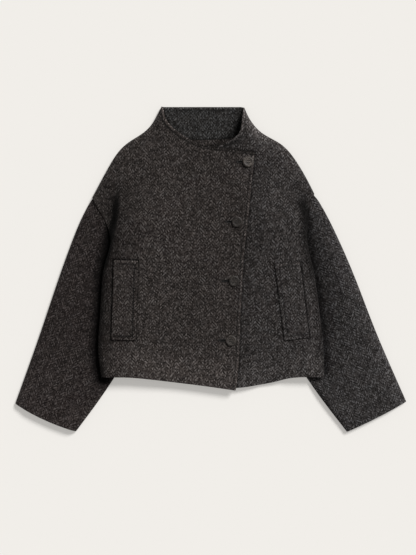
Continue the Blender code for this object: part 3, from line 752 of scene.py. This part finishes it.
def finishShell(node, flat, area, restsOn):
    mesh = softShell(node)
    if node == levelling["node"]:
        evenOut(mesh)
    lines = seamLines.get(node, [])
    fine = [
        line for name, _, half, *_ in paintedShadingMarks.get(node, []) if half < refining["narrow"]
        for line in linesOf(name, node)
    ]
    if fine:
        refine(mesh, fine)
    places = placesOf(mesh)
    x, y = places[:, 0].copy(), places[:, 1].copy()
    if node.startswith(("front", "pocket")):
        places[:, 2] += frontLift(x, y)
    elif node.endswith("upper"):
        places[:, 2] += sleeveLift(node.split("_")[1], x, y)
    if node.startswith("sleeve"):
        side = node.split("_")[1]
        away = nearLine(x, y, [plan[side + "Armhole"]], "drape")
        near = ease(1 - away / sleeveDrape["sewnReach"])
        for axis in (0, 1):
            places[:, axis] += near * sleeveDrape["sewn"] * sleeveDrape[side + "In"][axis]
        places[:, 2] += near * sleeveDrape["sewnLift"] * node.endswith("upper")
    elif node == "back_collar":
        away = nearLine(x, y, [plan["neckSeam"]], "drape")
        places[:, 1] -= collarSewn["drawn"] * ease(1 - away / collarSewn["reach"])
    if node.startswith("front") or node == "back_collar":
        rise = ease((y - collarRise["from"]) / collarRise["over"])
        outer = ease((x - collarRise["outFrom"]) / collarRise["outOver"])
        places[:, 0] += rise * collarRise["out"] * outer
        places[:, 1] += rise * collarRise["up"] * (1 - outer * collarRise["tip"])
    # paints the painted shade and highlights onto the piece
    if node in paintedShadingMarks:
        paintShading(mesh, node, x, y)
    if lines:
        away = nearLine(x, y, lines, "seam")
        places[:, 2] -= stitching["groove"] * hump(away, 0, stitching["grooveHalf"])
    mesh.vertices.foreach_set("co", places.ravel())
    mesh.update()
    piece = newPiece("cloth_" + node, mesh, tweeds.get(node, bodyTweed))
    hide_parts(node)
    print(piece.name, len(mesh.polygons), "faces")
    return piece


cut = {                          # flat width, length and area of what shows, and what it lies on
    "back": ((0.50, 0.53), 0.220, []),
    "back_collar": ((0.25, 0.066), 0.0128, []),
    "front_left": ((0.335, 0.60), 0.150, ["cloth_back"]),
    "front_right": ((0.345, 0.60), 0.154, ["cloth_front_left", "cloth_back"]),
    "sleeve_right_under": ((0.29, 0.46), 0.0716, []),
    "sleeve_left_under": ((0.29, 0.46), 0.0703, []),
    "sleeve_right_upper": ((0.29, 0.46), 0.0725, ["cloth_sleeve_right_under"]),
    "sleeve_left_upper": ((0.29, 0.46), 0.0706, ["cloth_sleeve_left_under"]),
    "pocket_welt_right": ((0.051, 0.166), 0.0084, ["cloth_front_right"]),
    "pocket_welt_left": ((0.052, 0.162), 0.0084, ["cloth_front_left"]),
}
cloths = {node: finishShell(node, *row) for node, row in cut.items()}
trees = {node: treeOf(cloths[node].data) for node in seamLines}


# noise-driven colour, as a ramp of tones times a gain
def mottled(wire, noise, tones, gain):
    stops = [(at, tuple(c * gain for c in colour) + (1,)) for at, colour in tones]
    return wire.node("ShaderNodeValToRGB", {"stops": stops}, {"Fac": noise})


threadLook = {
    "tones": [(0.3, (0.0070, 0.0062, 0.0058)), (0.7, (0.030, 0.027, 0.025))],
    "specular": 0.3,
    "sheen": 0.1,
    "twist": 2600,
    "roughest": 0.9,
    "shine": 0.25,
    "bumpStrength": 0.4,
    "bumpDepth": 0.0001,
}


def threadMaterial(name, gain):
    look = threadLook
    material, shader, wire = newMaterial(
        name, Specular_IOR_Level=look["specular"], Sheen_Weight=look["sheen"])
    place = wire.node("ShaderNodeTexCoord", {}, {}, "Object")
    twist = wire.node(
        "ShaderNodeTexNoise", {}, {"Vector": place, "Scale": look["twist"], "Detail": 2})
    ramp = mottled(wire, twist, look["tones"], gain)
    bump = wire.node("ShaderNodeBump", {}, {
        "Strength": look["bumpStrength"], "Distance": look["bumpDepth"], "Height": twist})
    feed(wire.tree, shader, Base_Color=ramp, Roughness=look["roughest"] - twist * look["shine"],
         Normal=bump)
    return material


sewingThread = threadMaterial("sewingThread", 1.0)
buttonholeThread = threadMaterial("buttonholeThread", 0.35)


# a short stitch lying along a run on the cloth
def addStitch(bm, place, run, normal, length, width, height):
    side = normal.cross(run).normalized()
    ahead = side.cross(normal).normalized()
    turn = Matrix((ahead, side, normal)).transposed().to_4x4()
    size = Matrix.Diagonal((length / 2, width / 2, height / 2, 1))
    bmesh.ops.create_icosphere(
        bm, subdivisions=1, radius=1, matrix=Matrix.Translation(place) @ turn @ size)


for node, lines in stitchSpots.items():
    bm = bmesh.new()
    for spots in lines:
        for a, b in zip(spots, spots[1:]):
            middle = (a + b) / 2
            place, normal = topOf(trees[node], middle.x, middle.y)
            if place is None or normal.z < stitching["steepest"]:
                continue
            run = Vector((b.x - a.x, b.y - a.y, 0)).normalized()
            addStitch(bm, place + normal * stitching["lift"], run, normal,
                      stitching["length"], stitching["width"], stitching["height"])
    newPiece("stitches_" + node, meshFrom(bm, "stitches_" + node), sewingThread)
print("topstitching sewn")


buttonholes = {
    "length": 0.0260,
    "slit": 0.0010,              # half width of the slit
    "tube": 0.00085,             # half the thickness of the bound edge
    "unitTube": 0.25,            # the same on a ring of radius 1, before it is drawn out
    "flat": 0.75,
    "lift": 0.0002,
    "around": 132,
    "tubeSides": 8,
    "wraps": 44,
    "wrapSwell": 0.16,
    "square": 1.6,               # how soon the ends turn into straight sides
    "shadow": {"length": 0.97, "width": 2.2, "height": 0.0009, "lift": 0.0003},
    "shadowColour": (0.0015, 0.0014, 0.0013, 1),
    # middle of each, from the middle of its button
    "spots": {"button_1": (-0.0105, 0.0), "button_2": (-0.0108, 0.0003),
              "button_3": (-0.0112, 0.0), "button_4": (-0.0128, 0.0008)},
}


# a worked buttonhole: a ring of thread drawn out to a slot, bound round with stitches
def workedRing(centre, name):
    bm = bmesh.new()
    made = bmesh.ops.create_circle(
        bm, segments=buttonholes["tubeSides"], radius=buttonholes["unitTube"])
    bmesh.ops.rotate(
        bm, verts=made["verts"], cent=(0, 0, 0), matrix=Matrix.Rotation(pi / 2, 3, "X"))
    bmesh.ops.translate(bm, verts=made["verts"], vec=sideways)
    bmesh.ops.spin(
        bm, geom=bm.verts[:] + bm.edges[:], cent=(0, 0, 0), axis=up, angle=2 * pi,
        steps=buttonholes["around"], use_merge=True)
    bmesh.ops.remove_doubles(bm, verts=bm.verts, dist=shell["merge"])
    bmesh.ops.recalc_face_normals(bm, faces=bm.faces)
    straight = buttonholes["length"] / 2 - buttonholes["slit"]
    tube = buttonholes["tube"]
    for vert in bm.verts:
        ring = hypot(vert.co.x, vert.co.y)
        c, s = vert.co.x / ring, vert.co.y / ring
        wrapped = cos(buttonholes["wraps"] * np.arctan2(s, c))
        thick = tube / buttonholes["unitTube"] * (1 + buttonholes["wrapSwell"] * wrapped)
        reach = buttonholes["slit"] + tube + (ring - 1) * thick
        x = centre[0] + reach * c + straight * max(-1, min(1, c * buttonholes["square"]))
        y = centre[1] + reach * s
        z = vert.co.z * thick * buttonholes["flat"]
        ground = topOf(trees["front_right"], x, y)[0]
        vert.co = Vector((x, y, ground.z + buttonholes["lift"] + z))
    newPiece(name, meshFrom(bm, name), buttonholeThread)


# a dark sheet laid in each slit: painted shadow for the shade inside the buttonhole
slitDark, slitShader, _ = newMaterial("slitShadow", Roughness=1.0, Specular_IOR_Level=0.0)
slitShader.inputs["Base Color"].default_value = buttonholes["shadowColour"]
for name, shift in buttonholes["spots"].items():
    low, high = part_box(name)
    middle = (Vector(low) + Vector(high)) / 2
    centre = (middle.x + shift[0], middle.y + shift[1])
    workedRing(centre, "buttonhole_" + name[-1])
    shadow = buttonholes["shadow"]
    bm = bmesh.new()
    place, normal = topOf(trees["front_right"], *centre)
    addStitch(bm, place + normal * shadow["lift"], sideways, normal,
              buttonholes["length"] * shadow["length"], buttonholes["slit"] * shadow["width"],
              shadow["height"])
    newPiece("buttonslit_" + name[-1], meshFrom(bm, "buttonslit_" + name[-1]), slitDark)
print("buttonholes worked")


horn = {
    "tones": [(0.34, (0.0090, 0.0074, 0.0062)), (0.52, (0.0380, 0.0310, 0.0262)),
              (0.72, (0.1250, 0.1070, 0.0940))],
    "swirl": 240,
    "swirlBend": 1.6,
    "specular": 0.28,
    "smoothest": 0.40,
    "scuff": 900,
    "scuffShare": 0.2,
    "bumpStrength": 0.15,
    "bumpDepth": 0.0001,
    "steps": 56,
    # half section from the middle of the dished face round to the foot: radius, height
    "section": [
        (0.0, 0.00310), (0.0040, 0.00312), (0.0062, 0.00324), (0.0075, 0.00348),
        (0.0083, 0.00369), (0.0089, 0.00375), (0.0096, 0.00366), (0.0102, 0.00342),
        (0.0107, 0.00306), (0.0111, 0.00262), (0.0115, 0.00205), (0.0114, 0.00150),
        (0.0109, 0.00090), (0.0098, 0.00040), (0.0080, 0.0001), (0.0, 0.0),
    ],
    "sharp": radians(38),
    "pitch": 0.0046,             # from hole to hole
    "hole": 0.00105,
    "holeSides": 16,
    "drill": 0.02,
    "sink": 0.0005,              # how far it presses into the cloth
    # the top button's horn is painted paler and the others darker, as painted light and shade for
    # how each faces the lamp
    "gain": {"button_1": 1.35, "button_2": 0.6, "button_3": 0.6, "button_4": 0.8},
    "tilt": {"button_1": (-5, 3), "button_2": (2, -3), "button_3": (3, 2), "button_4": (-3, -2)},
}
buttonThread = {
    "apart": 0.00042,            # three strands through each pair of holes
    "height": 0.00318,
    "crown": 0.0002,             # the middle one lies higher
    "over": 0.0012,              # they end inside the holes
    "width": 0.0006,
    "thick": 0.0007,
    "shank": {"segments": 14, "radius1": 0.0022, "radius2": 0.0018, "depth": 0.0016},
    "shankAt": -0.0004,
}


def hornMaterial(name, gain):
    material, shader, wire = newMaterial(name, Specular_IOR_Level=horn["specular"])
    place = wire.node("ShaderNodeTexCoord", {}, {}, "Object")
    swirl = wire.node("ShaderNodeTexNoise", {}, {
        "Vector": place, "Scale": horn["swirl"], "Detail": 4, "Distortion": horn["swirlBend"]})
    ramp = mottled(wire, swirl, horn["tones"], gain)
    scuff = wire.node(
        "ShaderNodeTexNoise", {}, {"Vector": place, "Scale": horn["scuff"], "Detail": 3})
    bump = wire.node("ShaderNodeBump", {}, {
        "Strength": horn["bumpStrength"], "Distance": horn["bumpDepth"], "Height": scuff})
    feed(wire.tree, shader, Base_Color=ramp, Normal=bump,
         Roughness=horn["smoothest"] + scuff * horn["scuffShare"])
    return material


def turnedButton(name):
    low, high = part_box(name)
    centre = Vector(((low[0] + high[0]) / 2, (low[1] + high[1]) / 2, low[2]))
    bm = bmesh.new()
    line = [bm.verts.new((radius, 0, height)) for radius, height in horn["section"]]
    edges = [bm.edges.new(pair) for pair in zip(line, line[1:])]
    bmesh.ops.spin(
        bm, geom=line + edges, cent=(0, 0, 0), axis=up, angle=2 * pi,
        steps=horn["steps"], use_merge=True)
    bmesh.ops.remove_doubles(bm, verts=bm.verts, dist=shell["merge"])
    bmesh.ops.recalc_face_normals(bm, faces=bm.faces)
    blank = bpy.data.objects.new(name + "_blank", meshFrom(bm, name + "_blank"))
    bm = bmesh.new()
    for a, b in ((-1, -1), (1, -1), (1, 1), (-1, 1)):
        at = Matrix.Translation((a * horn["pitch"] / 2, b * horn["pitch"] / 2, 0))
        bmesh.ops.create_cone(
            bm, cap_ends=True, segments=horn["holeSides"], radius1=horn["hole"],
            radius2=horn["hole"], depth=horn["drill"], matrix=at)
    drill = bpy.data.objects.new(name + "_drill", meshFrom(bm, name + "_drill"))
    for helper in (blank, drill):
        bpy.context.scene.collection.objects.link(helper)
    holes = blank.modifiers.new("holes", "BOOLEAN")
    holes.solver = "EXACT"
    holes.object = drill
    shown = blank.evaluated_get(bpy.context.evaluated_depsgraph_get())
    mesh = bpy.data.meshes.new_from_object(shown)
    for helper in (blank, drill):
        bpy.data.objects.remove(helper)
    lean = [radians(angle) for angle in horn["tilt"][name]]
    turn = Matrix.Rotation(lean[0], 4, "X") @ Matrix.Rotation(lean[1], 4, "Y")
    lift = float(frontLift(np.array([centre.x]), np.array([centre.y]))[0])
    stand = Matrix.Translation(centre + up * (lift - horn["sink"])) @ turn
    mesh.transform(stand)
    material = hornMaterial("horn_" + name, horn["gain"][name])
    piece = newPiece("shown_" + name, mesh, material)
    mesh.set_sharp_from_angle(angle=horn["sharp"])
    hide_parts(name)
    bm = bmesh.new()
    for b in (-1, 1):
        for strand in (-1, 0, 1):
            y = b * horn["pitch"] / 2 + strand * buttonThread["apart"]
            z = buttonThread["height"] + buttonThread["crown"] * (strand == 0)
            addStitch(bm, Vector((0, y, z)), sideways, up, horn["pitch"] + buttonThread["over"],
                      buttonThread["width"], buttonThread["thick"])
    bmesh.ops.create_cone(
        bm, cap_ends=True, matrix=Matrix.Translation((0, 0, buttonThread["shankAt"])),
        **buttonThread["shank"])
    bmesh.ops.transform(bm, matrix=stand, verts=bm.verts)
    newPiece("thread_" + name, meshFrom(bm, "thread_" + name), sewingThread)


for name in horn["gain"]:
    turnedButton(name)
print("buttons turned and sewn on")


studio = {
    "floorSize": 40,
    "floorCells": 8,
    "floorAt": -0.0004,
    "floorColour": (0.880, 0.855, 0.815),
    "floorGlow": 0.38,           # share of the floor's white that shadows leave alone
    "fill": 0.30,
    "key": 0.70,
    "keyTravel": (-0.65, -0.76),
    "keyElevation": radians(40),
    "keyAngle": radians(20),
    "frameMiddle": (-0.00525, -0.01785),
    "frameHeight": 1.1655,
    "clothTop": 0.012,
    "cameraAway": 2.4,
    "sensor": 36.0,
}
bm = bmesh.new()
bmesh.ops.create_grid(
    bm, x_segments=studio["floorCells"], y_segments=studio["floorCells"], size=studio["floorSize"])
floor = bpy.data.objects.new("floor", meshFrom(bm, "floor"))
floorPaint, floorShader, _ = newMaterial("floorPaint", Roughness=1.0, Specular_IOR_Level=0.0)
glow, colour = studio["floorGlow"], studio["floorColour"]
floorShader.inputs["Base Color"].default_value = (*(c * (1 - glow) for c in colour), 1)
floorShader.inputs["Emission Color"].default_value = (*(c * glow for c in colour), 1)
floorShader.inputs["Emission Strength"].default_value = 1.0
floor.data.materials.append(floorPaint)
floor.location.z = studio["floorAt"]
bpy.context.scene.collection.objects.link(floor)

sun = bpy.data.lights.new("key", "SUN")
sun.energy = studio["key"] * pi / sin(studio["keyElevation"])
sun.angle = studio["keyAngle"]
key = bpy.data.objects.new("key", sun)
travel = Vector((*studio["keyTravel"], 0)).normalized() * cos(studio["keyElevation"])
travel -= up * sin(studio["keyElevation"])
key.rotation_euler = travel.to_track_quat("-Z", "Y").to_euler()
bpy.context.scene.collection.objects.link(key)

world = bpy.data.worlds.new("studio")
world.use_nodes = True
world.node_tree.nodes["Background"].inputs["Color"].default_value = (1, 1, 1, 1)
world.node_tree.nodes["Background"].inputs["Strength"].default_value = studio["fill"]
bpy.context.scene.world = world
bpy.context.scene.view_settings.view_transform = "Standard"

camera = bpy.data.objects.new("camera", bpy.data.cameras.new("camera"))
camera.location = (*studio["frameMiddle"], studio["clothTop"] + studio["cameraAway"])
camera.data.sensor_width = studio["sensor"]
camera.data.lens = studio["sensor"] * studio["cameraAway"] / studio["frameHeight"]
bpy.context.scene.collection.objects.link(camera)
bpy.context.scene.camera = camera
print("studio set")
